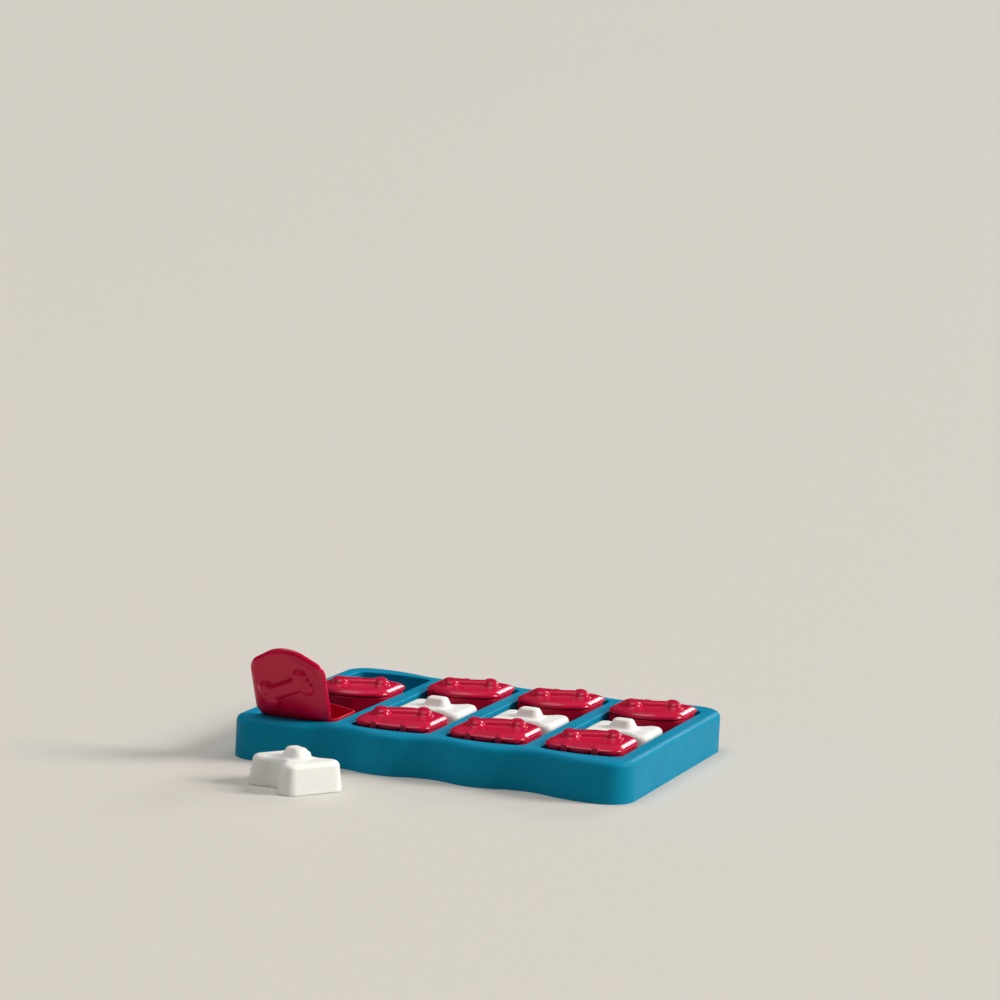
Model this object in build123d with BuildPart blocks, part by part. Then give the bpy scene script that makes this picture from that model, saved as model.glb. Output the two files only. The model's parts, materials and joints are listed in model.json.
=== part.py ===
"""Sliding and flipping treat puzzle for dogs.

A teal tray has four channels that run from front to back.  Each channel carries two red treat
boxes that slide towards the middle, and each box has a hinged lid with a raised bone on it.
Between the two boxes of a channel sits a hollow bone shaped plug that lifts out by its knob.

Frame: millimetres, +Z up, z = 0 on the floor, X along the row of channels, Y from front to back.
The origin is the middle of the tray's underside.
"""

import os
from math import asin, atan, cos, radians, sin, tan

from build123d import *

os.makedirs("parts", exist_ok=True)

# ---------------------------------------------------------------- driving dimensions
channel_count = 4
channel_pitch = 76.4
channel_width = 64.0
channel_length = 221.0  # between the two bowed ends, on the channel's centre line
channel_end_bow = 5.0
channel_corner_radius = 9.0

end_deck = 13.4  # from the outer channels to the straight end walls
long_deck = 12.0  # from a channel's end to the middle line of the wavy long walls
tray_height = 32.0
tray_wall = 2.5
tray_corner_radius = 22.0
tray_edge_radius = 5.0
wave_height = 4.0  # how far a crest stands out of the middle line
end_crest_radius = 90.0  # plan radius of the outer crests, which run on into the corners
channel_lip_radius = 1.0

floor_top = 10.0
floor_thickness = 2.2
well_radius = 17.0
well_depth = 6.0
well_edge_radius = 3.0
well_end_distance = 40.5  # from a channel's end to the middle of its outer well

rail_depth = 1.5  # how far a rail stands out of the channel wall
rail_height = 2.0
rail_end_gap = 9.0  # the rails stop this far short of the channel's end corners

running_gap = 0.4  # between a slider and the tray, sideways and upwards
floor_gap = 0.2

slider_gap = 1.3  # between a lid and the side of its channel
slider_side = 49.0  # straight side of the lid, hinge corner to shoulder
slider_nose = 19.0  # from the shoulders to the point where the two flanks would meet
slider_end_gap = 8.4  # from the channel's end to the lid's hinge corners
hinge_edge_bow = 4.0
shoulder_radius = 11.0
nose_radius = 20.0
hinge_corner_radius = 9.0

box_inset = 0.7  # the box wall stands this far inside the lid's outline
box_end_setback = 3.2  # the wall of the hinge end stands this far behind the hinge axis
box_rise = 0.4  # the box's rim stands this far above the tray's deck
box_wall = 2.0
box_floor = 2.0
box_rim_radius = 0.6
tongue_height = 3.4
tongue_setback = 6.5  # from the ends of the lid's straight side to the ends of a tongue

lid_gap = 0.8  # shadow line between the box rim and the lid
lid_thickness = 5.0
lid_edge_height = 1.8
lid_bevel_width = 3.4
lid_hinge_bevel_width = 9.0  # the bevel is wider along the hinge edge
lid_edge_radius = 0.5
lid_shoulder_radius = 1.6
lid_crown_radius = 4.0
lid_skin = 2.2
lip_depth = 1.8
lip_thickness = 1.4
lip_gap = 0.7
lid_opening = 115.0  # degrees from closed to resting back
skirt_drop = 1.9  # the hinge edge reaches this far below the lid's underside
skirt_thickness = 1.3
skirt_reach = 3.0  # the skirt ends this far past the hinge corners

hinge_spacing = 24.0
hinge_inset = 2.8  # from the middle of the lid's hinge edge to the axis
hinge_drop = 1.3  # from the lid's underside down to the axis
pin_radius = 1.1
pin_clearance = 0.08
knuckle_radius = 2.8
knuckle_width = 5.0
knuckle_rib_foot = 2.6  # height of a knuckle's rib at the hinge edge, above the lid's underside
knuckle_rib_length = 8.5
knuckle_rib_head = 0.4  # the rib ends this far below the lid's top
knuckle_mouth = 1.7
lug_width = 1.8
lug_clearance = 0.3

ornament_tilt = 26.0
ornament_reach = 30.0  # from the hinge corners to the middle of the ornament
ornament_half_length = 16.5
ornament_lobe_offset = 5.4
ornament_lobe_radius = 6.4
ornament_lobe_height = 4.4
ornament_bar_width = 12.0
ornament_bar_height = 2.8
ornament_dome_radius = 3.0

bone_gap = 3.0  # between a plug and each side of its channel
bone_half_width = 27.0
bone_waist = 17.5
bone_waist_flat = 6.0
bone_lobe_length = 15.0  # straight end of a lobe, from the plug's end to where its waist begins
bone_corner_radius = 10.0
bone_waist_radius = 10.5
bone_rise = 0.8  # the plug's top stands this far above the tray's deck
bone_draft = 7.5
bone_edge_radius = 4.5
bone_wall = 2.2
knob_length = 22.0
knob_width = 18.0
knob_corner_radius = 7.0
knob_height = 7.2
knob_taper = 28.0
knob_edge_radius = 2.4
knob_root_radius = 3.0

back_left_shift = 46.0  # the back left box stands this far in from its outer stop
loose_bone_side = 40.6  # from the left channel's centre line to the plug on the floor
loose_bone_gap = 76.5  # from the middle line of the tray's front wall to the plug on the floor
loose_bone_turn = -34.0

selection_gap = 0.01  # edges closer than this to a height or a place are taken to lie on it

# ---------------------------------------------------------------- derived sizes and places
channel_centres = [(index - (channel_count - 1) / 2) * channel_pitch for index in range(channel_count)]
channel_corner_y = channel_length / 2 - channel_end_bow
tray_length = 2 * (channel_centres[-1] + channel_width / 2 + end_deck)
tray_width = channel_length + 2 * long_deck

slider_width = channel_width - 2 * slider_gap
slider_bottom = floor_top + floor_gap
hinge_corner_y = -(channel_length / 2 - slider_end_gap)
half_box = slider_width / 2 - box_inset
box_top = tray_height + box_rise
lid_bottom = box_top + lid_gap
lid_top = lid_bottom + lid_thickness
hinge_y = hinge_corner_y - hinge_edge_bow + hinge_inset
hinge_z = lid_bottom - hinge_drop

bone_half_length = channel_width / 2 - bone_gap
bone_lobe_inner = bone_half_length - bone_lobe_length
bone_height = tray_height + bone_rise - floor_top


def channel_outline(margin: float = 0.0) -> Sketch:
    """Plan of one channel: straight sides and gently bowed ends, grown by a margin."""
    half = channel_width / 2
    with BuildSketch() as outline:
        with BuildLine():
            Line((half, -channel_corner_y), (half, channel_corner_y))
            ThreePointArc((half, channel_corner_y), (0, channel_length / 2), (-half, channel_corner_y))
            Line((-half, channel_corner_y), (-half, -channel_corner_y))
            ThreePointArc((-half, -channel_corner_y), (0, -channel_length / 2), (half, -channel_corner_y))
        make_face()
        fillet(outline.vertices(), radius=channel_corner_radius)
        if margin:
            offset(amount=margin)
    return outline.sketch


def tray_outline(inset: float = 0.0) -> Sketch:
    """Plan of the tray: straight end walls, and wavy long walls that swell out at each channel.

    The crest of each outer channel is a wider arc, which meets the corner's arc smoothly.
    """
    middle = tray_width / 2
    quarter_wave = channel_pitch / 4
    steepest = 2 * atan(wave_height / quarter_wave)  # slope where the wave crosses its middle line
    start_x = channel_centres[-1] - quarter_wave
    crest_x = start_x + end_crest_radius * sin(steepest)
    corner_centre_x = tray_length / 2 - tray_corner_radius
    fall = asin((corner_centre_x - crest_x) / (end_crest_radius - tray_corner_radius))
    corner_x = crest_x + end_crest_radius * sin(fall)
    corner_y = middle + end_crest_radius * (cos(fall) - cos(steepest))
    side_y = corner_y - tray_corner_radius * cos(fall)
    with BuildSketch() as outline:
        with BuildLine() as edge:
            for centre in channel_centres[:-1]:
                after = centre + quarter_wave
                pinch = (centre + channel_pitch / 2, middle - wave_height)
                if centre != channel_centres[0]:
                    crest = (centre, middle + wave_height)
                    ThreePointArc((centre - quarter_wave, middle), crest, (after, middle))
                ThreePointArc((after, middle), pinch, (after + channel_pitch / 2, middle))
            for side in (-1, 1):
                rise = (side * cos(steepest), sin(steepest))
                dip = (side * cos(fall), -sin(fall))
                TangentArc((side * start_x, middle), (side * corner_x, corner_y), tangent=rise)
                TangentArc((side * corner_x, corner_y), (side * tray_length / 2, side_y), tangent=dip)
                Line((side * tray_length / 2, side_y), (side * tray_length / 2, 0))
            mirror(edge.line, about=Plane.XZ)
        make_face()
        if inset:
            offset(amount=-inset)
    return outline.sketch


def slider_outline(inset: float = 0.0, setback: float = 0.0) -> Sketch:
    """Plan of a lid: bowed hinge edge, straight sides, and a free edge that comes to a round nose.

    The inset draws the whole outline in, and the setback moves the hinge edge alone.
    """
    half = slider_width / 2
    end_y = hinge_corner_y + setback
    shoulder_y = hinge_corner_y + slider_side
    peak_y = shoulder_y + slider_nose
    with BuildSketch() as outline:
        with BuildLine():
            Polyline((half, end_y), (half, shoulder_y), (0, peak_y), (-half, shoulder_y), (-half, end_y))
            ThreePointArc((-half, end_y), (0, end_y - hinge_edge_bow), (half, end_y))
        make_face()
        by_height = outline.vertices().group_by(Axis.Y)
        fillet(by_height[0], radius=hinge_corner_radius)
        by_height = outline.vertices().group_by(Axis.Y)
        fillet(by_height[-1], radius=nose_radius)
        shoulders = outline.vertices().filter_by(lambda v: abs(v.Y - shoulder_y) < selection_gap)
        fillet(shoulders, radius=shoulder_radius)
        if inset:
            offset(amount=-inset)
    return outline.sketch


def bone_outline(inset: float = 0.0) -> Sketch:
    """Plan of a plug: four round lobes, flat ends and two waists that face the sliders."""
    waist_turn = atan((bone_half_width - bone_waist) / (bone_lobe_inner - bone_waist_flat))
    waist_room = (bone_lobe_length - bone_corner_radius) / tan(waist_turn / 2) - selection_gap
    waist_rounding = min(bone_waist_radius, waist_room)  # the lobe's straight end limits the fillet
    with BuildSketch() as outline:
        with BuildLine():
            quarter = [
                (bone_half_length, bone_half_width),
                (bone_lobe_inner, bone_half_width),
                (bone_waist_flat, bone_waist),
            ]
            upper = quarter + [(-x, y) for x, y in reversed(quarter)]
            lower = [(x, -y) for x, y in reversed(upper)]
            Polyline(*upper, *lower, close=True)
        make_face()
        roundings = (
            (bone_half_length, bone_corner_radius),
            (bone_lobe_inner, waist_rounding),
            (bone_waist_flat, waist_rounding),
        )
        for place, rounding in roundings:
            corners = outline.vertices().filter_by(lambda v: abs(abs(v.X) - place) < selection_gap)
            fillet(corners, radius=rounding)
        if inset:
            offset(amount=-inset)
    return outline.sketch


# ---------------------------------------------------------------- tray
well_bottom = floor_top - well_depth
well_spacing = channel_length / 2 - well_end_distance
well_places = [(centre, row * well_spacing) for centre in channel_centres for row in (-1, 0, 1)]
rail_bottom = slider_bottom + tongue_height + running_gap
rail_length = 2 * (channel_corner_y - rail_end_gap)
rail_offset = (channel_width - rail_depth) / 2

with BuildPart() as tray:
    with BuildSketch():
        add(tray_outline())
    extrude(amount=tray_height)
    fillet(tray.faces().sort_by(Axis.Z)[-1].edges(), radius=tray_edge_radius)

    # the underside is hollow: an even wall is left along the skirt, the deck and every channel
    with BuildSketch():
        add(tray_outline(tray_wall))
        for centre in channel_centres:
            with Locations((centre, 0)):
                add(channel_outline(tray_wall), mode=Mode.SUBTRACT)
    extrude(amount=tray_height - tray_wall, mode=Mode.SUBTRACT)
    with BuildSketch():
        for centre in channel_centres:
            with Locations((centre, 0)):
                add(channel_outline(tray_wall))
        with Locations(*well_places):
            Circle(well_radius + tray_wall, mode=Mode.SUBTRACT)
    extrude(amount=floor_top - floor_thickness, mode=Mode.SUBTRACT)
    with BuildSketch():
        with Locations(*well_places):
            Circle(well_radius + tray_wall)
    extrude(amount=well_bottom - floor_thickness, mode=Mode.SUBTRACT)

    # channels, with a treat well under each slider and one under the plug
    with BuildSketch(Plane.XY.offset(floor_top)):
        for centre in channel_centres:
            with Locations((centre, 0)):
                add(channel_outline())
    extrude(amount=tray_height - floor_top, mode=Mode.SUBTRACT)
    deck = tray.faces().filter_by(GeomType.PLANE).sort_by(Axis.Z)[-1]
    fillet(deck.inner_wires().edges(), radius=channel_lip_radius)
    with BuildSketch(Plane.XY.offset(well_bottom)):
        with Locations(*well_places):
            Circle(well_radius)
    extrude(amount=well_depth, mode=Mode.SUBTRACT)
    rounds = tray.edges().filter_by(GeomType.CIRCLE)
    rounds = rounds.filter_by(lambda e: abs(e.center().Z - well_bottom) < selection_gap)
    fillet(rounds.filter_by(lambda e: abs(e.radius - well_radius) < selection_gap), radius=well_edge_radius)

    # rails along both walls of each channel, over the sliders' tongues
    with BuildSketch(Plane.XY.offset(rail_bottom)):
        for centre in channel_centres:
            with Locations((centre - rail_offset, 0), (centre + rail_offset, 0)):
                Rectangle(rail_depth, rail_length)
    extrude(amount=rail_height)
tray.part.label = "tray"
export_step(tray.part, "parts/tray.step")


# ---------------------------------------------------------------- treat box that slides
def box_outline(inset: float = 0.0) -> Sketch:
    """Plan of a treat box: the lid's outline drawn in, with its hinge end set back."""
    return slider_outline(box_inset + inset, hinge_inset + box_end_setback - box_inset)


tongue_width = channel_width - 2 * running_gap
tongue_length = slider_side - 2 * tongue_setback
tongue_middle = hinge_corner_y + slider_side / 2
lug_reach = box_end_setback + box_wall / 2
lug_offset = (knuckle_width + lug_width) / 2 + lug_clearance

with BuildPart() as slider_box:
    with BuildSketch(Plane.XY.offset(slider_bottom)):
        add(box_outline())
    extrude(amount=box_top - slider_bottom)
    fillet(slider_box.edges().group_by(Axis.Z)[0], radius=box_rim_radius)
    with BuildSketch(Plane.XY.offset(slider_bottom + box_floor)):
        add(box_outline(box_wall))
    extrude(amount=box_top - slider_bottom - box_floor, mode=Mode.SUBTRACT)
    fillet(slider_box.edges().group_by(Axis.Z)[-1], radius=box_rim_radius)

    # tongues that run under the tray's rails
    with BuildSketch(Plane.XY.offset(slider_bottom)):
        with Locations((0, tongue_middle)):
            Rectangle(tongue_width, tongue_length)
            Rectangle(2 * half_box - box_wall, tongue_length, mode=Mode.SUBTRACT)
    extrude(amount=tongue_height)

    # hinge pins, each held between two lugs on the end wall
    for side in (-1, 1):
        with BuildSketch(Plane.YZ.offset(side * hinge_spacing / 2)):
            with Locations((hinge_y, hinge_z)):
                Circle(pin_radius)
        extrude(amount=lug_offset + lug_width / 2, both=True)
        for lug in (-1, 1):
            with BuildSketch(Plane.YZ.offset(side * hinge_spacing / 2 + lug * lug_offset)):
                with Locations((hinge_y, hinge_z)):
                    Circle(pin_radius)
                with Locations((hinge_y + lug_reach / 2, hinge_z)):
                    Rectangle(lug_reach, 2 * pin_radius)
            extrude(amount=lug_width / 2, both=True)


# ---------------------------------------------------------------- hinged lid
with BuildPart() as ornament:
    with BuildSketch():
        for end in (-1, 1):
            with Locations(
                (end * ornament_half_length, ornament_lobe_offset),
                (end * ornament_half_length, -ornament_lobe_offset),
            ):
                Circle(ornament_lobe_radius)
    extrude(amount=ornament_lobe_height)
    fillet(ornament.edges().group_by(Axis.Z)[-1], radius=ornament_dome_radius)
    with BuildSketch():
        Rectangle(2 * ornament_half_length, ornament_bar_width)
    extrude(amount=ornament_bar_height)

knuckle_bore = pin_radius + pin_clearance
lip_inset = box_inset + box_wall + lip_gap
lip_setback = hinge_inset + box_end_setback - box_inset
hinge_places = [(side * hinge_spacing / 2, hinge_y) for side in (-1, 1)]
skirt_notch = 2 * lug_offset + lug_width + 2 * lug_clearance
rib_back_y = hinge_y - knuckle_radius
rib_head = (rib_back_y + knuckle_rib_length, lid_top - knuckle_rib_head)

with BuildPart() as lid:
    with BuildSketch(Plane.XY.offset(lid_bottom)):
        add(slider_outline())
    extrude(amount=lid_edge_height)
    with BuildSketch(Plane.XY.offset(lid_bottom + lid_edge_height)):
        add(slider_outline())
    with BuildSketch(Plane.XY.offset(lid_top)):
        add(slider_outline(lid_bevel_width, lid_hinge_bevel_width - lid_bevel_width))
    loft()
    fillet(lid.edges().group_by(Axis.Z)[-1], radius=lid_crown_radius)
    shoulder_z = lid_bottom + lid_edge_height
    at_shoulder = lid.edges().filter_by(lambda e: abs(e.center().Z - shoulder_z) < selection_gap)
    fillet(at_shoulder, radius=lid_shoulder_radius)
    fillet(lid.edges().group_by(Axis.Z)[0], radius=lid_edge_radius)

    # raised bone, set askew
    with Locations(Location((0, hinge_corner_y + ornament_reach, lid_top), (0, 0, ornament_tilt))):
        add(ornament.part)

    # the underside is hollow, with a lip that drops inside the box
    with BuildSketch(Plane.XY.offset(lid_bottom)):
        add(slider_outline(lip_inset, lip_setback))
    extrude(amount=lid_thickness - lid_skin, mode=Mode.SUBTRACT)
    with BuildSketch(Plane.XY.offset(lid_bottom - lip_depth)):
        add(slider_outline(lip_inset, lip_setback))
        add(slider_outline(lip_inset + lip_thickness, lip_setback), mode=Mode.SUBTRACT)
    extrude(amount=lip_depth + lid_thickness - lid_skin)

    # the hinge edge has a skirt that hides the pins, open where the clips turn between the lugs
    with BuildSketch(Plane.XY.offset(lid_bottom - skirt_drop)):
        add(slider_outline())
        add(slider_outline(skirt_thickness), mode=Mode.SUBTRACT)
        with Locations((0, hinge_corner_y + skirt_reach)):
            keep_clear = (Align.CENTER, Align.MIN)
            Rectangle(slider_width, slider_side + slider_nose, align=keep_clear, mode=Mode.SUBTRACT)
        with Locations(*hinge_places):
            Rectangle(skirt_notch, 2 * hinge_inset + hinge_edge_bow, mode=Mode.SUBTRACT)
    extrude(amount=skirt_drop + lid_edge_radius)

    # knuckles that clip on the pins, with the mouth of each clip facing down and a rib up the bevel
    for side in (-1, 1):
        with BuildSketch(Plane.YZ.offset(side * hinge_spacing / 2)):
            with Locations((hinge_y, hinge_z)):
                Circle(knuckle_radius)
            with BuildLine():
                Polyline(
                    (rib_back_y, hinge_z),
                    (rib_back_y, lid_bottom + knuckle_rib_foot),
                    rib_head,
                    (rib_head[0], lid_bottom),
                    close=True,
                )
            make_face()
        extrude(amount=knuckle_width / 2, both=True)
        with BuildSketch(Plane.YZ.offset(side * hinge_spacing / 2)):
            with Locations((hinge_y, hinge_z)):
                Circle(knuckle_bore)
            with Locations((hinge_y, hinge_z - knuckle_radius / 2)):
                Rectangle(knuckle_mouth, knuckle_radius)
        extrude(amount=knuckle_width / 2, both=True, mode=Mode.SUBTRACT)


# ---------------------------------------------------------------- lift-out bone plug
bone_top_inset = bone_height * tan(radians(bone_draft))
with BuildPart() as bone_plug:
    with BuildSketch():
        add(bone_outline())
    with BuildSketch(Plane.XY.offset(bone_height)):
        add(bone_outline(bone_top_inset))
    loft(ruled=True)
    fillet(bone_plug.edges().group_by(Axis.Z)[-1], radius=bone_edge_radius)
    knob_foot = Plane.XY.offset(bone_height)
    with BuildSketch(knob_foot):
        RectangleRounded(knob_length, knob_width, knob_corner_radius)
    extrude(amount=knob_height, taper=knob_taper)
    fillet(bone_plug.edges().group_by(Axis.Z)[-1], radius=knob_edge_radius)
    at_top = bone_plug.edges().filter_by(lambda e: abs(e.center().Z - bone_height) < selection_gap)
    knob_root = at_top.filter_by(lambda e: abs(e.center().Y) < knob_width / 2 + selection_gap)
    knob_root = knob_root.filter_by(lambda e: abs(e.center().X) < knob_length / 2 + selection_gap)
    fillet(knob_root, radius=knob_root_radius)
    with BuildSketch():
        add(bone_outline(bone_wall))
    with BuildSketch(Plane.XY.offset(bone_height - bone_wall)):
        add(bone_outline(bone_wall + (bone_height - bone_wall) * tan(radians(bone_draft))))
    loft(ruled=True, mode=Mode.SUBTRACT)


# ---------------------------------------------------------------- assembly
rows = {"front": Location((0, 0, 0)), "back": Location((0, 0, 0), (0, 0, 180))}
plug_seat = [Location((centre, 0, floor_top)) for centre in channel_centres]
loose_bone_x = channel_centres[0] + loose_bone_side
loose_bone_y = -tray_width / 2 - loose_bone_gap
plug_seat[0] = Location((loose_bone_x, loose_bone_y, 0), (0, 0, loose_bone_turn))

for index, centre in enumerate(channel_centres):
    channel = index + 1
    for row, turn in rows.items():
        shift = -back_left_shift if (channel, row) == (1, "back") else 0.0
        place = Location((centre, shift, 0)) * turn
        box = slider_box.part.moved(place)
        box.label = f"slider_box_{row}_{channel}"
        export_step(box, f"parts/{box.label}.step")
        swing = Location((0, hinge_y, hinge_z), (lid_opening, 0, 0)) * Location((0, -hinge_y, -hinge_z))
        is_open = (channel, row) == (1, "front")
        cover = lid.part.moved(place * swing if is_open else place)
        cover.label = f"lid_{row}_{channel}"
        export_step(cover, f"parts/{cover.label}.step")
    plug = bone_plug.part.moved(plug_seat[index])
    plug.label = f"bone_plug_{channel}"
    export_step(plug, f"parts/{plug.label}.step")
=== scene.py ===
"""Looks of a sliding and flipping treat puzzle for dogs.

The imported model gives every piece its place.  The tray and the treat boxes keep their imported
meshes.  The lids and the bone plugs are modelled here as the soft moulded forms that they are,
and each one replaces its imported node.  Sizes are in millimetres up to the point where a mesh is
made, and the frame's own unit, the metre, holds from there on.
"""

import json
import logging
import math
from dataclasses import dataclass, field
from enum import Enum

import bpy
import numpy as np
from mathutils import Matrix, Vector


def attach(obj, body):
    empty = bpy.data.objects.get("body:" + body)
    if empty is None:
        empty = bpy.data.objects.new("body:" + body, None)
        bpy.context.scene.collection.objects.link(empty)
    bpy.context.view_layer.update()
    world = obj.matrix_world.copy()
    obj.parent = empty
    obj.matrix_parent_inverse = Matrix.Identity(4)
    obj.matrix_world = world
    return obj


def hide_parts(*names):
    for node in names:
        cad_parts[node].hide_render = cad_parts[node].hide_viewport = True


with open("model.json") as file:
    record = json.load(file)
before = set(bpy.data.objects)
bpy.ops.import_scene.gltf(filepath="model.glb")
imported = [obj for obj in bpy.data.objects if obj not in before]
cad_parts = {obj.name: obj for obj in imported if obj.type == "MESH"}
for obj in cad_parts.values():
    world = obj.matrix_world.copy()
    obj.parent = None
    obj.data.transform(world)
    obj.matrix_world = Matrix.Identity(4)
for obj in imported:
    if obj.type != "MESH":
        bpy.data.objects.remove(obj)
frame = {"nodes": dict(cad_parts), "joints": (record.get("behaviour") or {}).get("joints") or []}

LOG = logging.getLogger("treat_puzzle")
MM = 0.001
PLASTIC_IOR = 1.49
SCATTER_DEPTH = 4.0  # how far light runs under a pale plastic's surface, in millimetres
SMEAR_SHARE = 0.3  # size of the gloss smears against the colour patches
NOISE_LOW, NOISE_HIGH = 0.3, 0.7  # where most values of a noise texture lie


# ---------------------------------------------------------------- helpers
def linear(hex_colour: str) -> tuple[float, float, float, float]:
    """Turns an sRGB hex colour into the linear RGBA that Blender's sockets take.

    Args:
        hex_colour: six hex digits, with or without a leading hash sign.

    Returns:
        Linear red, green, blue and an alpha of 1.
    """
    digits = hex_colour.lstrip("#")
    srgb = [int(digits[start : start + 2], 16) / 255 for start in (0, 2, 4)]
    rgb = [v / 12.92 if v <= 0.04045 else ((v + 0.055) / 1.055) ** 2.4 for v in srgb]
    return (rgb[0], rgb[1], rgb[2], 1.0)


def add_node(
    tree: bpy.types.NodeTree, kind: str, inputs: dict | None = None, **settings: object
) -> bpy.types.Node:
    """Adds one node to a tree, with its settings, its values and its links.

    Args:
        tree: the material's or modifier's node tree.
        kind: the node's type name.
        inputs: socket name or number to a value, or to the output socket that feeds it.
        **settings: attributes of the node.

    Returns:
        The new node.
    """
    node = tree.nodes.new(kind)
    for name, value in settings.items():
        setattr(node, name, value)
    for key, value in (inputs or {}).items():
        if isinstance(value, bpy.types.NodeSocket):
            tree.links.new(value, node.inputs[key])
        else:
            node.inputs[key].default_value = value
    return node


def mesh_object(name: str, points: np.ndarray, faces: list[tuple[int, ...]]) -> bpy.types.Object:
    """Makes a smooth-shaded mesh object at the origin.

    Args:
        name: the piece's name.
        points: vertex places in metres, one row each.
        faces: vertex numbers of each face, anticlockwise from outside.

    Returns:
        The new object, linked to the scene.
    """
    mesh = bpy.data.meshes.new(name)
    mesh.from_pydata(points.tolist(), [], faces)
    mesh.polygons.foreach_set("use_smooth", [True] * len(mesh.polygons))
    mesh.update()
    piece = bpy.data.objects.new(name, mesh)
    bpy.context.scene.collection.objects.link(piece)
    return piece


def plain_mesh(piece: bpy.types.Object) -> None:
    """Turns a piece with live modifiers into a plain mesh of what they give.

    Args:
        piece: the object, whose modifiers are gone afterwards.
    """
    graph = bpy.context.evaluated_depsgraph_get()
    finished = bpy.data.meshes.new_from_object(piece.evaluated_get(graph))
    piece.modifiers.clear()
    piece.data = finished


def join_into(target: bpy.types.Object, extra: bpy.types.Object) -> None:
    """Joins one piece into another, and leaves the first one's name and material.

    Args:
        target: the piece that stays.
        extra: the piece that becomes part of it.
    """
    both = [target, extra]
    with bpy.context.temp_override(
        active_object=target, object=target, selected_objects=both, selected_editable_objects=both
    ):
        bpy.ops.object.join()


# ---------------------------------------------------------------- finishes
@dataclass(frozen=True)
class MouldedPlastic:
    """An injection-moulded plastic: even colour, a faint flow pattern and a fine grain.

    Attributes:
        name: the material's name.
        slot: the record's material slot; not used.
        colour: main colour, sRGB hex.
        shade: colour of the slightly deeper patches, sRGB hex.
        roughness: mean roughness.
        roughness_swing: how far handling and flow marks move the roughness.
        specular: specular level, where 0.5 is the plain level of the plastic's index of refraction.
        patch: size of the colour patches in millimetres.
        grain: size of the surface grain in millimetres, drawn coarser than the real 0.1 mm to show.
        grain_depth: height of the grain in millimetres.
        scatter: weight of light scattered under the surface, for pale translucent plastic.
    """

    name: str
    slot: str
    colour: str
    shade: str
    roughness: float
    roughness_swing: float
    specular: float
    patch: float
    grain: float
    grain_depth: float
    scatter: float = 0.0

    def build(self) -> bpy.types.Material:
        """Builds the material's nodes.

        Returns:
            The finished material.
        """
        material = bpy.data.materials.new(self.name)
        material.use_nodes = True
        tree = material.node_tree
        tree.nodes.clear()
        place = add_node(tree, "ShaderNodeTexCoord").outputs["Object"]
        patches = add_node(
            tree,
            "ShaderNodeTexNoise",
            {"Vector": place, "Scale": 1 / (self.patch * MM), "Detail": 3.0, "Roughness": 0.55},
        )
        tint = add_node(tree, "ShaderNodeValToRGB", {"Fac": patches.outputs["Fac"]})
        deep, plain = tint.color_ramp.elements
        deep.position, deep.color = NOISE_LOW, linear(self.shade)
        plain.position, plain.color = NOISE_HIGH, linear(self.colour)
        smear = self.patch * SMEAR_SHARE * MM
        smears = add_node(
            tree,
            "ShaderNodeTexNoise",
            {"Vector": place, "Scale": 1 / smear, "Detail": 5.0, "Roughness": 0.6},
        )
        gloss = add_node(
            tree,
            "ShaderNodeMapRange",
            {
                "Value": smears.outputs["Fac"],
                "From Min": NOISE_LOW,
                "From Max": NOISE_HIGH,
                "To Min": self.roughness - self.roughness_swing,
                "To Max": self.roughness + self.roughness_swing,
            },
        )
        grain = add_node(
            tree,
            "ShaderNodeTexNoise",
            {"Vector": place, "Scale": 1 / (self.grain * MM), "Detail": 2.0},
        )
        relief = add_node(
            tree,
            "ShaderNodeBump",
            {"Height": grain.outputs["Fac"], "Strength": 1.0, "Distance": self.grain_depth * MM},
        )
        shader = add_node(
            tree,
            "ShaderNodeBsdfPrincipled",
            {
                "Base Color": tint.outputs["Color"],
                "Roughness": gloss.outputs["Result"],
                "IOR": PLASTIC_IOR,
                "Specular IOR Level": self.specular,
                "Subsurface Weight": self.scatter,
                "Subsurface Scale": SCATTER_DEPTH * MM,
                "Normal": relief.outputs["Normal"],
            },
        )
        add_node(tree, "ShaderNodeOutputMaterial", {"Surface": shader.outputs["BSDF"]})
        return material


# Polypropylene from a lightly grained mould: the tray has a soft sheen and no sharp reflections.
TRAY_TEAL = MouldedPlastic(
    name="moulded_teal_polypropylene",
    slot="tray_teal",
    colour="#008AAE",
    shade="#0083A7",
    roughness=0.48,
    roughness_swing=0.05,
    specular=0.08,
    patch=45.0,
    grain=0.9,
    grain_depth=0.010,
)
# The boxes come from the same grade in crimson, and stand in the lids' shade.
BOX_RED = MouldedPlastic(
    name="moulded_crimson_box",
    slot="box_red",
    colour="#C4002F",
    shade="#BC002C",
    roughness=0.42,
    roughness_swing=0.05,
    specular=0.2,
    patch=30.0,
    grain=0.8,
    grain_depth=0.008,
)
# Polished mould: the lids show crisp highlights along every rounded edge.
LID_RED = MouldedPlastic(
    name="polished_crimson_lid",
    slot="lid_red",
    colour="#CC003C",
    shade="#C40039",
    roughness=0.22,
    roughness_swing=0.03,
    specular=0.35,
    patch=30.0,
    grain=0.8,
    grain_depth=0.003,
)
# White polypropylene: satin, and a little translucent at thin walls.
BONE_WHITE = MouldedPlastic(
    name="satin_white_polypropylene",
    slot="bone_white",
    colour="#F5F3EF",
    shade="#F1EFEA",
    roughness=0.42,
    roughness_swing=0.05,
    specular=0.35,
    patch=35.0,
    grain=0.9,
    grain_depth=0.006,
    scatter=0.25,
)


# ---------------------------------------------------------------- outlines
class Row(Enum):
    """The two rows of treat boxes."""

    FRONT = "front"
    BACK = "back"


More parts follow.
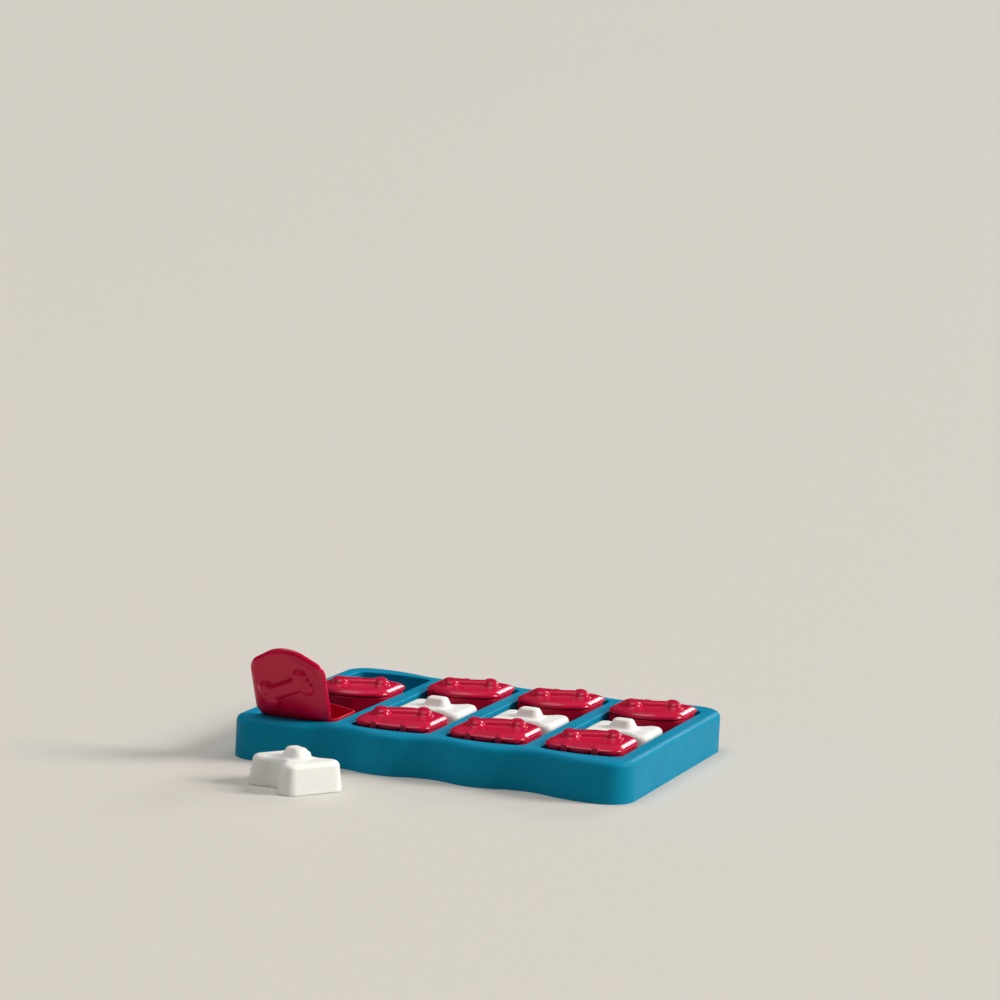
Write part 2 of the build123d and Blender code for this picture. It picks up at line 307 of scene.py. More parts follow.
@dataclass(frozen=True)
class Arc:
    """One arc of an outline, run from its start angle to its end angle, in millimetres."""

    x: float
    y: float
    radius: float
    start: float
    end: float
    steps: int

    def at(self, angles: np.ndarray) -> np.ndarray:
        """Places on the arc.

        Args:
            angles: the angles asked for, in radians.

        Returns:
            One row of x and y for each angle.
        """
        across = self.x + self.radius * np.cos(angles)
        along = self.y + self.radius * np.sin(angles)
        return np.stack([across, along], 1)


@dataclass
class LidOutline:
    """Plan of a lid in millimetres: the hinge axis is y = 0, and +y runs to the nose.

    Attributes:
        half_width: half the lid's width.
        corner_y: where the hinge edge ends at the sides.
        hinge_bow: how far the middle of the hinge edge stands out.
        side: length of the straight sides before they turn to the nose.
        peak: distance from the corners to where the two slanted edges of the nose would meet.
        corner_radius: rounding of the corners at the hinge.
        shoulder_radius: rounding where a side turns to the nose.
        nose_radius: rounding of the nose.
        hinge_steps: steps along the hinge edge.
        corner_steps: steps round a corner or a shoulder.
        nose_steps: steps round the nose.
        side_steps: points along a straight run.
        longest_seam: gap under which two arcs count as touching.
    """

    half_width: float = 30.7
    corner_y: float = 1.2
    hinge_bow: float = 4.0
    side: float = 49.0
    peak: float = 68.0
    corner_radius: float = 12.0
    shoulder_radius: float = 14.0
    nose_radius: float = 28.0
    hinge_steps: int = 120
    corner_steps: int = 16
    nose_steps: int = 28
    side_steps: int = 24
    longest_seam: float = 1.0

    def arcs(self, inset: float, setback: float) -> list[Arc]:
        """Arcs round the outline, anticlockwise from the hinge edge.

        Args:
            inset: how far the whole outline is drawn in.
            setback: how far the hinge edge alone is moved in.

        Returns:
            The arcs, with straight runs left out between those that don't touch.
        """
        bow_radius = (self.half_width**2 + self.hinge_bow**2) / (2 * self.hinge_bow)
        bow_y = self.corner_y + setback - self.hinge_bow + bow_radius
        corner_x = self.half_width - self.corner_radius
        corner_y = bow_y - math.sqrt((bow_radius - self.corner_radius) ** 2 - corner_x**2)
        bow_half = math.asin(corner_x / (bow_radius - self.corner_radius))
        shoulder_y = self.corner_y + self.side
        peak_y = self.corner_y + self.peak
        flank = math.atan2(self.half_width, peak_y - shoulder_y)
        shoulder_x = self.half_width - self.shoulder_radius
        shoulder_mid = shoulder_y - self.shoulder_radius * math.tan(flank / 2)
        nose_mid = peak_y - self.nose_radius / math.sin(flank)
        right = math.pi / 2
        corner, shoulder = self.corner_radius - inset, self.shoulder_radius - inset
        turn = self.corner_steps
        bow_start, bow_end = -right - bow_half, -right + bow_half
        return [
            Arc(0, bow_y, bow_radius - inset, bow_start, bow_end, self.hinge_steps),
            Arc(corner_x, corner_y, corner, bow_end, 0, turn),
            Arc(shoulder_x, shoulder_mid, shoulder, 0, flank, turn),
            Arc(0, nose_mid, self.nose_radius - inset, flank, 2 * right - flank, self.nose_steps),
            Arc(-shoulder_x, shoulder_mid, shoulder, 2 * right - flank, 2 * right, turn),
            Arc(-corner_x, corner_y, corner, 2 * right, 3 * right - bow_half, turn),
        ]

    def points(self, inset: float = 0.0, setback: float = 0.0) -> np.ndarray:
        """Points of the outline, the same number for every inset, so that rings can be joined.

        Args:
            inset: how far the whole outline is drawn in.
            setback: how far the hinge edge alone is moved in.

        Returns:
            One row of x and y for each point.
        """
        found: list[np.ndarray] = []
        runs = self.arcs(inset, setback)
        for run, following in zip(runs, runs[1:] + runs[:1]):
            arc = run.at(np.linspace(run.start, run.end, run.steps + 1))
            found.append(arc)
            first = following.at(np.array([following.start]))[0]
            if np.linalg.norm(first - arc[-1]) > self.longest_seam:
                share = np.linspace(0, 1, self.side_steps + 2)[1:-1, None]
                found.append(arc[-1] * (1 - share) + first * share)
            else:
                found[-1] = arc[:-1]
        return np.concatenate(found)


# ---------------------------------------------------------------- lid
@dataclass
class RaisedBone:
    """The bone ornament on a lid: four round lobes and a lower bar, melted together.

    Attributes:
        tilt: how far the bone is turned on the lid, in degrees.
        reach: distance of its middle from the hinge axis.
        shift: distance of its middle from the lid's middle line.
        half_length: distance of the lobes from its middle, along the bone.
        lobe_offset: distance of a lobe from the bone's own middle line.
        lobe_radius: radius of a lobe.
        lobe_height: height of a lobe over the lid.
        bar_half_width: half the bar's width.
        bar_height: height of the bar over the lid.
        lobe_dome: how broad a lobe's top is before it falls off.
        lobe_fullness: how steep a lobe's side is, where less is steeper.
        bar_dome: the same breadth for the bar.
        bar_fullness: the same steepness for the bar.
        melt: width of the blur that melts the edges.
        melt_span: how many such widths the blur reaches.
        cell: spacing of the height field.
        half_field: half the side of the height field.
        grid: the height field.
    """

    tilt: float = 26.0
    reach: float = 31.2
    shift: float = -1.2
    half_length: float = 16.3
    lobe_offset: float = 5.2
    lobe_radius: float = 6.4
    lobe_height: float = 4.5
    bar_half_width: float = 6.2
    bar_height: float = 4.0
    lobe_dome: float = 2.6
    lobe_fullness: float = 0.55
    bar_dome: int = 4
    bar_fullness: float = 0.5
    melt: float = 0.55
    melt_span: float = 3.0
    cell: float = 0.25
    half_field: float = 30.0
    grid: np.ndarray = field(init=False)

    def __post_init__(self) -> None:
        """Draws the height field once, with every edge softened by the same small blur."""
        axis = np.arange(-self.half_field, self.half_field + self.cell, self.cell)
        along, across = np.meshgrid(axis, axis, indexing="ij")
        height = np.zeros_like(along)
        for end in (-1, 1):
            for side in (-1, 1):
                middle_x, middle_y = end * self.half_length, side * self.lobe_offset
                distance = np.hypot(along - middle_x, across - middle_y) / self.lobe_radius
                share = np.clip(1 - distance**self.lobe_dome, 0, None)
                height = np.maximum(height, self.lobe_height * share**self.lobe_fullness)
        beyond = np.clip(np.abs(along) - self.half_length, 0, None)
        distance = np.hypot(beyond, across) / self.bar_half_width
        share = np.clip(1 - distance**self.bar_dome, 0, None)
        height = np.maximum(height, self.bar_height * share**self.bar_fullness)
        span = int(self.melt_span * self.melt / self.cell)
        kernel = np.exp(-0.5 * (np.arange(-span, span + 1) * self.cell / self.melt) ** 2)
        kernel /= kernel.sum()
        for direction in (0, 1):
            height = np.apply_along_axis(np.convolve, direction, height, kernel, "same")
        self.grid = height

    def height(self, x: np.ndarray, y: np.ndarray) -> np.ndarray:
        """Height of the ornament over the lid's top.

        Args:
            x: places across the lid, measured from its middle.
            y: places along the lid, measured from the hinge axis.

        Returns:
            The height at each place, in millimetres.
        """
        turn = math.radians(self.tilt)
        along = (x - self.shift) * math.cos(turn) + (y - self.reach) * math.sin(turn)
        across = -(x - self.shift) * math.sin(turn) + (y - self.reach) * math.cos(turn)
        column = np.clip((along + self.half_field) / self.cell, 0, self.grid.shape[0] - 2)
        line = np.clip((across + self.half_field) / self.cell, 0, self.grid.shape[1] - 2)
        i, j = column.astype(int), line.astype(int)
        u, v = column - i, line - j
        low = self.grid[i, j] * (1 - u) + self.grid[i + 1, j] * u
        high = self.grid[i, j + 1] * (1 - u) + self.grid[i + 1, j + 1] * u
        return low * (1 - v) + high * v


@dataclass
class HingeClips:
    """The two clips under a lid's hinge edge that snap on the box's pins, each with its upright.

    Attributes:
        spacing: distance between the two clips.
        outer_radius: outer radius of a clip.
        bore_radius: radius of the hole that the pin sits in.
        width: width of a clip along the pin.
        mouth: width of the gap that snaps over the pin.
        upright_depth: depth of the block that joins a clip to the lid.
        upright_height: height of that block.
        resolution: number of steps round a clip.
    """

    spacing: float = 24.0
    outer_radius: float = 2.8
    bore_radius: float = 1.18
    width: float = 5.0
    mouth: float = 1.7
    upright_depth: float = 1.5
    upright_height: float = 2.2
    resolution: int = 40

    def build(self, material: bpy.types.Material) -> bpy.types.Object:
        """Builds both clips round the hinge axis, which is the X axis, with Geometry Nodes.

        Args:
            material: finish of the clips.

        Returns:
            A plain mesh object, in metres.
        """
        tree = bpy.data.node_groups.new("hinge_clips", "GeometryNodeTree")
        middle = (self.outer_radius + self.bore_radius) / 2
        values = {
            "Spacing": self.spacing * MM,
            "Middle Radius": middle * MM,
            "Wall": (self.outer_radius - self.bore_radius) * MM,
            "Width": self.width * MM,
            "Mouth Angle": math.asin(self.mouth / 2 / middle),
            "Upright Depth": self.upright_depth * MM,
            "Upright Height": self.upright_height * MM,
            "Reach": -self.outer_radius * MM,
        }
        for name in values:
            tree.interface.new_socket(name, in_out="INPUT", socket_type="NodeSocketFloat")
        tree.interface.new_socket("Geometry", in_out="OUTPUT", socket_type="NodeSocketGeometry")
        sizes = add_node(tree, "NodeGroupInput").outputs
        start = add_node(
            tree, "ShaderNodeMath", {0: -math.pi / 2, 1: sizes["Mouth Angle"]}, operation="ADD"
        )
        sweep = add_node(
            tree,
            "ShaderNodeMath",
            {0: sizes["Mouth Angle"], 1: -2.0, 2: 2 * math.pi},
            operation="MULTIPLY_ADD",
        )
        ring = add_node(
            tree,
            "GeometryNodeCurveArc",
            {
                "Resolution": self.resolution,
                "Radius": sizes["Middle Radius"],
                "Start Angle": start.outputs[0],
                "Sweep Angle": sweep.outputs[0],
            },
        )
        section = add_node(
            tree,
            "GeometryNodeCurvePrimitiveQuadrilateral",
            {"Width": sizes["Wall"], "Height": sizes["Width"]},
        )
        clip = add_node(
            tree,
            "GeometryNodeCurveToMesh",
            {
                "Curve": ring.outputs["Curve"],
                "Profile Curve": section.outputs["Curve"],
                "Fill Caps": True,
            },
        )
        turned = add_node(
            tree,
            "GeometryNodeTransform",
            {"Geometry": clip.outputs["Mesh"], "Rotation": (math.pi / 2, 0.0, math.pi / 2)},
        )
        block = add_node(
            tree,
            "ShaderNodeCombineXYZ",
            {"X": sizes["Width"], "Y": sizes["Upright Depth"], "Z": sizes["Upright Height"]},
        )
        upright = add_node(tree, "GeometryNodeMeshCube", {"Size": block.outputs[0]})
        inward = add_node(
            tree,
            "ShaderNodeMath",
            {0: sizes["Upright Depth"], 1: 0.5, 2: sizes["Reach"]},
            operation="MULTIPLY_ADD",
        )
        lifted = add_node(
            tree, "ShaderNodeMath", {0: sizes["Upright Height"], 1: 0.5}, operation="MULTIPLY"
        )
        offset = add_node(
            tree, "ShaderNodeCombineXYZ", {"Y": inward.outputs[0], "Z": lifted.outputs[0]}
        )
        stood = add_node(
            tree,
            "GeometryNodeTransform",
            {"Geometry": upright.outputs["Mesh"], "Translation": offset.outputs[0]},
        )
        whole = add_node(tree, "GeometryNodeJoinGeometry")
        for part in (turned, stood):
            tree.links.new(part.outputs["Geometry"], whole.inputs["Geometry"])
        half = add_node(
            tree, "ShaderNodeMath", {0: sizes["Spacing"], 1: -0.5}, operation="MULTIPLY"
        )
        first = add_node(tree, "ShaderNodeCombineXYZ", {"X": half.outputs[0]})
        step = add_node(tree, "ShaderNodeCombineXYZ", {"X": sizes["Spacing"]})
        seats = add_node(
            tree,
            "GeometryNodeMeshLine",
            {"Count": 2, "Start Location": first.outputs[0], "Offset": step.outputs[0]},
        )
        pair = add_node(
            tree,
            "GeometryNodeInstanceOnPoints",
            {"Points": seats.outputs["Mesh"], "Instance": whole.outputs["Geometry"]},
        )
        real = add_node(
            tree, "GeometryNodeRealizeInstances", {"Geometry": pair.outputs["Instances"]}
        )
        dressed = add_node(
            tree,
            "GeometryNodeSetMaterial",
            {"Geometry": real.outputs["Geometry"], "Material": material},
        )
        add_node(tree, "NodeGroupOutput", {"Geometry": dressed.outputs["Geometry"]})

        piece = mesh_object("hinge_clips", np.zeros((0, 3)), [])
        modifier = piece.modifiers.new("clips", "NODES")
        modifier.node_group = tree
        for item in tree.interface.items_tree:
            if item.in_out == "INPUT":
                modifier[item.identifier] = values[item.name]
        plain_mesh(piece)
        return piece


@dataclass
class Lid:
    """A hinged lid: bevel, raised bone, hollow underside, locating lip and a skirt at the hinge.

    All sizes are in millimetres.  A ring is one closed line of points round the lid's plan.

    Attributes:
        hinge: place of the hinge's middle in the frame, in metres.
        row: which row of boxes the lid belongs to.
        opened: how far the lid stands open at rest, in degrees.
        body: the moving body that it rides on.
        node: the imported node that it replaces.
        outline: its plan.
        bone: its ornament.
        clips: its two clips.
        underside: height of the underside over the hinge axis.
        thickness: height of the flat top over the underside.
        edge_height: height of the upright edge.
        bevel_width: width of the bevel at the sides and the nose.
        hinge_bevel_width: width of the bevel at the hinge.
        edge_radius: rounding of the lower edge.
        shoulder_radius: rounding from the upright edge to the bevel.
        crown_radius: rounding from the bevel to the top.
        pocket_depth: depth of the hollow underside.
        pocket_rounding: rounding from the pocket's ceiling to its wall.
        pocket_edge: inset and drop of each ring of that rounding, as shares of it, from the
            ceiling down to the wall.
        lip_inset: distance of the locating lip from the outline.
        lip_setback: how much further in the lip stands at the hinge.
        lip_depth: how far the lip hangs below the underside.
        lip_thickness: thickness of the lip.
        skirt_thickness: thickness of the skirt.
        skirt_drop: how far the skirt hangs below the underside.
        skirt_end: distance from the hinge axis at which the skirt has run out.
        skirt_fade: length over which it runs out.
        notch_width: width of the gap that the skirt leaves for a clip.
        notch_ease: length over which the skirt runs out beside a clip.
        skirt_least: share of the skirt's drop that is left where it has run out.
        rib_foot: height of a rib's foot over the hinge axis.
        rib_head: height of its far end.
        rib_length: its length.
        rib_squareness: how square its section is.
        rib_end_slope: how fast its far end falls off.
        rib_blend: length over which its foot blends into the edge.
        rib_foot_share: share of its length that belongs to the foot.
        edge_rings: rings round the lower edge.
        shoulder_rings: rings round the shoulder.
        bevel_rings: rings on the bevel.
        crown_rings: rings round the crown.
        top_rings: rings from the crown to the middle of the top.
        sharp_above: angle in degrees above which an edge is shaded sharp.
    """

    hinge: Vector
    row: Row
    opened: float
    body: str
    node: str
    outline: LidOutline = field(default_factory=LidOutline)
    bone: RaisedBone = field(default_factory=RaisedBone)
    clips: HingeClips = field(default_factory=HingeClips)
    underside: float = 1.3
    thickness: float = 5.0
    edge_height: float = 1.8
    bevel_width: float = 3.4
    hinge_bevel_width: float = 9.0
    edge_radius: float = 0.5
    shoulder_radius: float = 2.8
    crown_radius: float = 8.0
    pocket_depth: float = 2.8
    pocket_rounding: float = 1.0
    pocket_edge: tuple[tuple[float, float], ...] = ((1.5, 0.0), (1.0, 0.0), (0.3, 0.3), (0.0, 1.0))
    lip_inset: float = 3.4
    lip_setback: float = 5.3
    lip_depth: float = 1.8
    lip_thickness: float = 1.4
    skirt_thickness: float = 1.3
    skirt_drop: float = 1.9
    skirt_end: float = 4.2
    skirt_fade: float = 3.0
    notch_width: float = 9.8
    notch_ease: float = 0.5
    skirt_least: float = 0.02
    rib_foot: float = 3.9
    rib_head: float = 6.1
    rib_length: float = 7.6
    rib_squareness: int = 6
    rib_end_slope: float = 6.0
    rib_blend: float = 1.5
    rib_foot_share: float = 0.5
    edge_rings: int = 5
    shoulder_rings: int = 6
    bevel_rings: int = 10
    crown_rings: int = 24
    top_rings: int = 64
    sharp_above: float = 50.0

    def rim_profile(self) -> list[tuple[float, float]]:
        """Inset and height of each ring, from the underside round the edge to the end of the crown.

        Returns:
            Pairs of inset and height in millimetres over the hinge axis.
        """
        base, top = self.underside, self.underside + self.thickness
        shoulder = base + self.edge_height
        slope = math.atan2(top - shoulder, self.bevel_width)
        rings: list[tuple[float, float]] = []
        for share in np.linspace(0, 1, self.edge_rings):
            angle = math.pi / 2 * share
            inset = self.edge_radius * (1 - math.sin(angle))
            rings.append((inset, base + self.edge_radius * (1 - math.cos(angle))))
        turn = math.pi / 2 - slope
        cut = self.shoulder_radius * math.tan(turn / 2)
        for share in np.linspace(0, 1, self.shoulder_rings):
            angle = turn * share
            inset = self.shoulder_radius * (1 - math.cos(angle))
            rings.append((inset, shoulder - cut + self.shoulder_radius * math.sin(angle)))
        cut = self.crown_radius * math.tan(slope / 2)
        crown = []
        for share in np.linspace(0, 1, self.crown_rings):
            angle = slope * (1 - share)
            inset = self.bevel_width + cut - self.crown_radius * math.sin(angle)
            crown.append((inset, top - self.crown_radius * (1 - math.cos(angle))))
        foot, head = np.array(rings[-1]), np.array(crown[0])
        shares = np.linspace(0, 1, self.bevel_rings + 2)[1:-1]
        bevel = [tuple(foot + (head - foot) * share) for share in shares]
        return rings + bevel + crown

    def ring(self, inset: float, setback: float, height: float) -> np.ndarray:
        """Draws one ring of the lid's surface.

        Args:
            inset: how far the whole outline is drawn in.
            setback: how far the hinge edge alone is moved in.
            height: height over the hinge axis.

        Returns:
            One row of x, y and z for each point.
        """
        plan = self.outline.points(inset, setback)
        return np.column_stack([plan, np.full(len(plan), height)])

    def surface(self) -> tuple[np.ndarray, list[tuple[int, ...]]]:
        """The closed surface of the lid, in millimetres from its hinge axis.

        Returns:
            Vertex places and faces.
        """
        base, top = self.underside, self.underside + self.thickness
        wider = self.hinge_bevel_width - self.bevel_width
        profile = self.rim_profile()
        reach = profile[-1][0]
        rim = []
        for inset, height in profile:
            setback = wider * math.sin(inset / reach * math.pi / 2)
            rim.append(self.ring(inset, setback, height))
        middle = np.array([0.0, rim[-1][:, 1].mean(), top])
        shares = np.linspace(1, 0, self.top_rings + 1)[1:-1]
        crown = [middle + (rim[-1] - middle) * share for share in shares]
        lip_in = self.lip_inset + self.lip_thickness
        ceiling, rounding = base + self.pocket_depth, self.pocket_rounding
        pocket = [
            self.ring(lip_in + inset * rounding, self.lip_setback, ceiling - drop * rounding)
            for inset, drop in self.pocket_edge
        ]
        under = pocket + [
            self.ring(lip_in, self.lip_setback, base - self.lip_depth),
            self.ring(self.lip_inset, self.lip_setback, base - self.lip_depth),
            self.ring(self.lip_inset, self.lip_setback, base),
            self.ring(self.skirt_thickness, 0.0, base),
            self.ring(self.skirt_thickness, 0.0, base),
        ]
        # The edge and the underside's last ring drop together as the skirt.
        for ring in [under[-1]] + rim[: self.edge_rings]:
            ring[:, 2] -= self.skirt(ring[:, 0], ring[:, 1])
        pocket_mid = np.array([0.0, middle[1], ceiling])
        rings = under + rim + crown
        for ring in rim[self.edge_rings :] + crown:
            ring[:, 2] += self.bone.height(ring[:, 0], ring[:, 1])
        for ring in rim[1:]:
            self.raise_ribs(ring)
        count = len(rim[0])
        points = np.concatenate(rings + [middle[None, :], pocket_mid[None, :]])
        points[-2, 2] += float(self.bone.height(middle[:1], middle[1:2])[0])
        faces: list[tuple[int, ...]] = []
        for level in range(len(rings) - 1):
            low, high = level * count, (level + 1) * count
            for i in range(count):
                j = (i + 1) % count
                faces.append((low + i, low + j, high + j, high + i))
        last, peak, pit = (len(rings) - 1) * count, len(points) - 2, len(points) - 1
        for i in range(count):
            j = (i + 1) % count
            faces.append((last + i, last + j, peak))
            faces.append((j, i, pit))
        return points, faces

    def skirt(self, x: np.ndarray, y: np.ndarray) -> np.ndarray:
        """How far the lid's lower edge drops: all along the hinge edge, but not at the clips.

        Args:
            x: places across the lid.
            y: places along the lid.

        Returns:
            The drop at each place.
        """
        along = np.clip((self.skirt_end - y) / self.skirt_fade, 0.0, 1.0)
        beside = np.abs(np.abs(x) - self.clips.spacing / 2) - self.notch_width / 2
        share = along**2 * (3 - 2 * along) * np.clip(beside / self.notch_ease, 0.0, 1.0)
        return self.skirt_drop * np.maximum(share, self.skirt_least)

    def raise_ribs(self, ring: np.ndarray) -> None:
        """Raises the two ribs that run from the clips up the bevel, on one ring of the rim.

        Args:
            ring: the ring's points, which are moved in place.
        """
        x, y, z = ring[:, 0], ring[:, 1], ring[:, 2]
        front = -self.clips.outer_radius
        beside = np.abs(np.abs(x) - self.clips.spacing / 2) / (self.clips.width / 2)
        share = np.sqrt(np.clip(1 - beside**self.rib_squareness, 0.0, 1.0))
        along = (y - front) / self.rib_length
        share = share * np.sqrt(np.clip((1 - along) * self.rib_end_slope, 0.0, 1.0))
        line = self.rib_foot + (self.rib_head - self.rib_foot) * along
        is_bevel = (along < 1.0) & (z > self.underside + self.edge_height / 2)
        ring[:, 2] += share * np.where(is_bevel, np.clip(line - z, 0.0, None), 0.0)
        outline = self.outline
        edge = outline.corner_y - outline.hinge_bow * (1 - (x / outline.half_width) ** 2)
        outward = np.clip(1 - (y - edge) / self.rib_blend, 0.0, 1.0)
        is_foot = along < self.rib_foot_share
        ring[:, 1] += share * np.where(is_foot, outward * (front - edge), 0.0)

    def build(self, material: bpy.types.Material) -> bpy.types.Object:
        """Makes the lid, puts it on its hinge and hands it to the frame.

        Args:
            material: finish of the lid.

        Returns:
            The finished piece.
        """
        points, faces = self.surface()
        piece = mesh_object(f"moulded_{self.node}", points * MM, faces)
        piece.data.materials.append(material)
        join_into(piece, self.clips.build(material))
        piece.data.set_sharp_from_angle(angle=math.radians(self.sharp_above))
        facing = Matrix.Rotation(math.pi, 4, "Z") if self.row is Row.BACK else Matrix.Identity(4)
        swing = Matrix.Rotation(math.radians(self.opened), 4, "X")
        piece.data.transform(Matrix.Translation(self.hinge) @ facing @ swing)
        piece.data.update()
        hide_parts(self.node)
        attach(piece, self.body)
        return piece


# ---------------------------------------------------------------- bone plugs
@dataclass
class BonePlug:
    """A hollow bone with a knob, whose edges are all softened as those of a thick moulding are.

    Attributes:
        node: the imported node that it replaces, which is also its moving body.
        weld_distance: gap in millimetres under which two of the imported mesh's points are one.
        voxel: cell size in millimetres of the even mesh that is softened.
        soften_share: how far each softening pass moves a point to its neighbours' middle.
        soften_passes: how many passes there are.
    """

    node: str
    weld_distance: float = 0.01
    voxel: float = 0.6
    soften_share: float = 0.5
    soften_passes: int = 16

    def build(self, material: bpy.types.Material) -> bpy.types.Object:
        """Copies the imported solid, melts its edges and hands it to the frame.

        Args:
            material: finish of the plug.

        Returns:
            The finished piece.
        """
        source = frame["nodes"][self.node]
        piece = bpy.data.objects.new(f"moulded_{self.node}", source.data.copy())
        bpy.context.scene.collection.objects.link(piece)
        weld = piece.modifiers.new("weld", "WELD")
        weld.merge_threshold = self.weld_distance * MM
        skin = piece.modifiers.new("skin", "REMESH")
        skin.mode = "VOXEL"
        skin.voxel_size = self.voxel * MM
        skin.use_smooth_shade = True
        soft = piece.modifiers.new("soft", "SMOOTH")
        soft.factor = self.soften_share
        soft.iterations = self.soften_passes
        plain_mesh(piece)
        piece.data.materials.clear()
        piece.data.materials.append(material)
        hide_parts(self.node)
        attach(piece, self.node)
        return piece


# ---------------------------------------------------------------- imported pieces
@dataclass
class PackedPiece:
    """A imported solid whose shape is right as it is, and which only gets its finish."""

    node: str

    def dress(self, material: bpy.types.Material) -> bpy.types.Object:
        """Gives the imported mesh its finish.

        Args:
            material: finish of the piece.

        Returns:
            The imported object.
        """
        piece = frame["nodes"][self.node]
        piece.data.materials.clear()
        piece.data.materials.append(material)
        return piece


# ---------------------------------------------------------------- studio
@dataclass(frozen=True)
class Window:
    """A distant soft light, which lights the floor evenly however far it runs.

    Attributes:
        name: the light's name.
        azimuth: where it stands, in degrees from the back, clockwise seen from above.
        elevation: its height over the floor in degrees.
        width: how wide it looks from the object, in degrees, which sets how soft its shadows are.
        strength: its light in watts per square metre.
        colour: its colour, sRGB hex.
    """

    name: str
    azimuth: float
    elevation: float
    width: float
    strength: float
    colour: str

    def build(self) -> bpy.types.Object:
        """Adds the light to the scene.

        Returns:
            The light.
        """
        data = bpy.data.lights.new(self.name, "SUN")
        data.angle = math.radians(self.width)
        data.energy = self.strength
        data.color = linear(self.colour)[:3]
        lamp = bpy.data.objects.new(self.name, data)
        turn, rise = math.radians(self.azimuth), math.radians(self.elevation)
        out = math.cos(rise)
        source = Vector((math.sin(turn) * out, math.cos(turn) * out, math.sin(rise)))
        lamp.rotation_euler = (-source).to_track_quat("-Z", "Y").to_euler()
        bpy.context.scene.collection.objects.link(lamp)
        return lamp


# Each window's azimuth and elevation follow its name.
WINDOWS = (
    Window("right_window", 70.0, 28.0, width=24.0, strength=3.0, colour="#FFFDF8"),
    Window("ceiling_lamp", 250.0, 80.0, width=40.0, strength=1.0, colour="#FFFFFF"),
    Window("back_window", 8.0, 22.0, width=16.0, strength=0.5, colour="#FFFFFF"),
    Window("front_fill", 215.0, 40.0, width=60.0, strength=0.15, colour="#FFF8EE"),
)


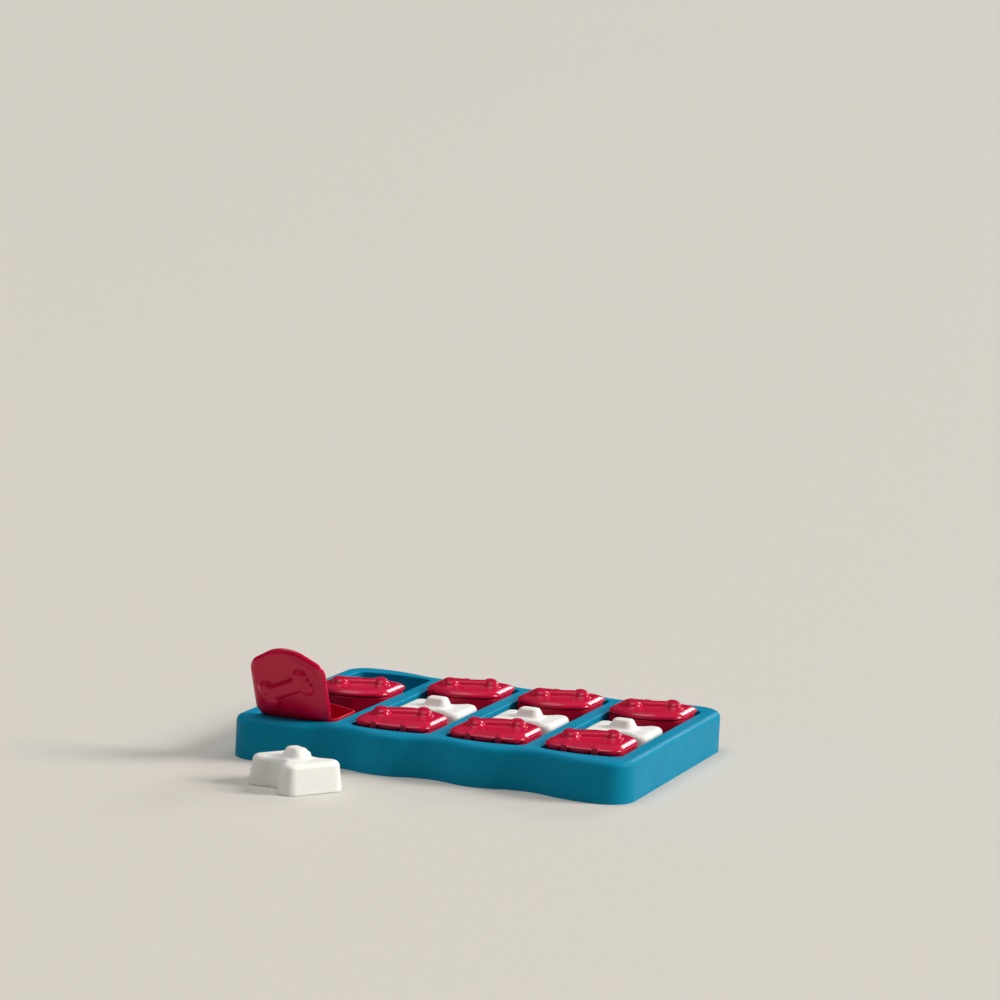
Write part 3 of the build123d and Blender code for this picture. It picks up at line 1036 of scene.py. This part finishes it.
@dataclass
class Studio:
    """Pale floor, dim surroundings, two windows, a ceiling lamp, a weak fill and the camera.

    Attributes:
        floor_half: half the floor's side in metres, which puts its edge out of sight.
        floor_colour: the floor's colour, sRGB hex.
        floor_roughness: the floor's roughness, that of a matt painted board.
        mottle_density: waves of the floor's faint mottle in a metre.
        mottle_height: height of that mottle in millimetres.
        mottle_strength: how strongly it bends the light.
        sky_low: light of the surroundings low down.
        sky_high: light of the surroundings overhead.
        sky_from: sine of the elevation at which they start to brighten.
        sky_to: sine of the elevation at which they reach their full light.
        focal_pixels: the camera's focal length in pixels of the picture.
        picture_pixels: the picture's side in pixels.
        sensor: the camera's sensor in millimetres.
        far_clip: how far the camera sees, in metres.
        eye: the camera's place in metres.
        yaw: the camera's heading from +Y, clockwise, in radians.
        pitch: how far it looks down, in radians.
        roll: how far it leans, in radians.
    """

    floor_half: float = 400.0
    floor_colour: str = "#D3CEC6"
    floor_roughness: float = 0.75
    mottle_density: float = 260.0
    mottle_height: float = 0.2
    mottle_strength: float = 0.2
    sky_low: float = 0.02
    sky_high: float = 0.3
    sky_from: float = 0.3
    sky_to: float = 0.85
    focal_pixels: float = 3938.7
    picture_pixels: float = 1000.0
    sensor: float = 36.0
    far_clip: float = 2000.0
    eye: tuple[float, float, float] = (1.00318, -2.844194, 0.61193)
    yaw: float = -0.337597
    pitch: float = 0.136033
    roll: float = 0.052232

    def build_floor(self) -> bpy.types.Object:
        """Lays the floor under the object.

        Returns:
            The floor.
        """
        half = self.floor_half
        corners = np.array([(-half, -half, 0), (half, -half, 0), (half, half, 0), (-half, half, 0)])
        floor = mesh_object("pale_floor", corners, [(0, 1, 2, 3)])
        material = bpy.data.materials.new("matt_pale_floor")
        material.use_nodes = True
        tree = material.node_tree
        tree.nodes.clear()
        place = add_node(tree, "ShaderNodeTexCoord").outputs["Object"]
        mottle = add_node(
            tree,
            "ShaderNodeTexNoise",
            {"Vector": place, "Scale": self.mottle_density, "Detail": 2.0},
        )
        relief = add_node(
            tree,
            "ShaderNodeBump",
            {
                "Height": mottle.outputs["Fac"],
                "Strength": self.mottle_strength,
                "Distance": self.mottle_height * MM,
            },
        )
        shader = add_node(
            tree,
            "ShaderNodeBsdfPrincipled",
            {
                "Base Color": linear(self.floor_colour),
                "Roughness": self.floor_roughness,
                "Normal": relief.outputs["Normal"],
            },
        )
        add_node(tree, "ShaderNodeOutputMaterial", {"Surface": shader.outputs["BSDF"]})
        floor.data.materials.append(material)
        return floor

    def build_surroundings(self) -> None:
        """Lights the scene softly from above, and less from low down, as a white ceiling does."""
        world = bpy.data.worlds.new("soft_ceiling")
        bpy.context.scene.world = world
        world.use_nodes = True
        tree = world.node_tree
        tree.nodes.clear()
        ray = add_node(tree, "ShaderNodeTexCoord").outputs["Generated"]
        height = add_node(tree, "ShaderNodeSeparateXYZ", {"Vector": ray}).outputs["Z"]
        strength = add_node(
            tree,
            "ShaderNodeMapRange",
            {
                "Value": height,
                "From Min": self.sky_from,
                "From Max": self.sky_to,
                "To Min": self.sky_low,
                "To Max": self.sky_high,
            },
        )
        sky = add_node(
            tree,
            "ShaderNodeBackground",
            {"Color": linear("#FFFFFF"), "Strength": strength.outputs["Result"]},
        )
        add_node(tree, "ShaderNodeOutputWorld", {"Surface": sky.outputs["Background"]})

    def build_camera(self) -> bpy.types.Object:
        """Puts the camera at its place, turned by yaw, pitch and roll.

        Returns:
            The camera.
        """
        ahead = Vector(
            (
                math.sin(self.yaw) * math.cos(self.pitch),
                math.cos(self.yaw) * math.cos(self.pitch),
                -math.sin(self.pitch),
            )
        )
        level = Vector((math.cos(self.yaw), -math.sin(self.yaw), 0.0))
        up = level.cross(ahead)
        right = level * math.cos(self.roll) + up * math.sin(self.roll)
        top = up * math.cos(self.roll) - level * math.sin(self.roll)
        data = bpy.data.cameras.new("camera")
        data.sensor_width = self.sensor
        data.lens = self.focal_pixels * self.sensor / self.picture_pixels
        data.clip_end = self.far_clip
        camera = bpy.data.objects.new("camera", data)
        facing = Matrix((right, top, -ahead)).transposed().to_4x4()
        camera.matrix_world = Matrix.Translation(self.eye) @ facing
        bpy.context.scene.collection.objects.link(camera)
        bpy.context.scene.camera = camera
        return camera

    def build(self) -> None:
        """Builds the whole studio and sets the plain view transform."""
        self.build_floor()
        self.build_surroundings()
        for window in WINDOWS:
            window.build()
        self.build_camera()
        bpy.context.scene.view_settings.view_transform = "Standard"


# ---------------------------------------------------------------- the toy
@dataclass
class TreatPuzzle:
    """The whole toy: tray, treat boxes, lids and plugs."""

    def lids(self) -> list[Lid]:
        """Reads each lid's hinge from the frame's joints.

        Returns:
            One lid for each hinge.
        """
        found = []
        for joint in frame["joints"]:
            if joint["type"] != "hinge":
                continue
            row = Row.FRONT if joint["axis"][0] > 0 else Row.BACK
            opened = -float(joint["range_deg"][0])
            found.append(Lid(Vector(joint["pos_m"]), row, opened, joint["child"], joint["child"]))
        return found

    def build(self) -> None:
        """Builds and dresses every piece in order, and reports each one."""
        teal, red = TRAY_TEAL.build(), BOX_RED.build()
        gloss, white = LID_RED.build(), BONE_WHITE.build()
        PackedPiece("tray").dress(teal)
        LOG.info("tray dressed")
        for node in sorted(frame["nodes"]):
            if node.startswith("slider_box"):
                PackedPiece(node).dress(red)
                LOG.info("%s dressed", node)
            elif node.startswith("bone_plug"):
                piece = BonePlug(node).build(white)
                LOG.info("%s: %d faces", piece.name, len(piece.data.polygons))
        for lid in self.lids():
            piece = lid.build(gloss)
            LOG.info("%s: %d faces", piece.name, len(piece.data.polygons))


def main() -> None:
    """Builds the toy and its studio."""
    logging.basicConfig(level=logging.INFO, format="%(name)s: %(message)s")
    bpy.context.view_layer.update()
    TreatPuzzle().build()
    Studio().build()


if __name__ == "__main__":
    main()
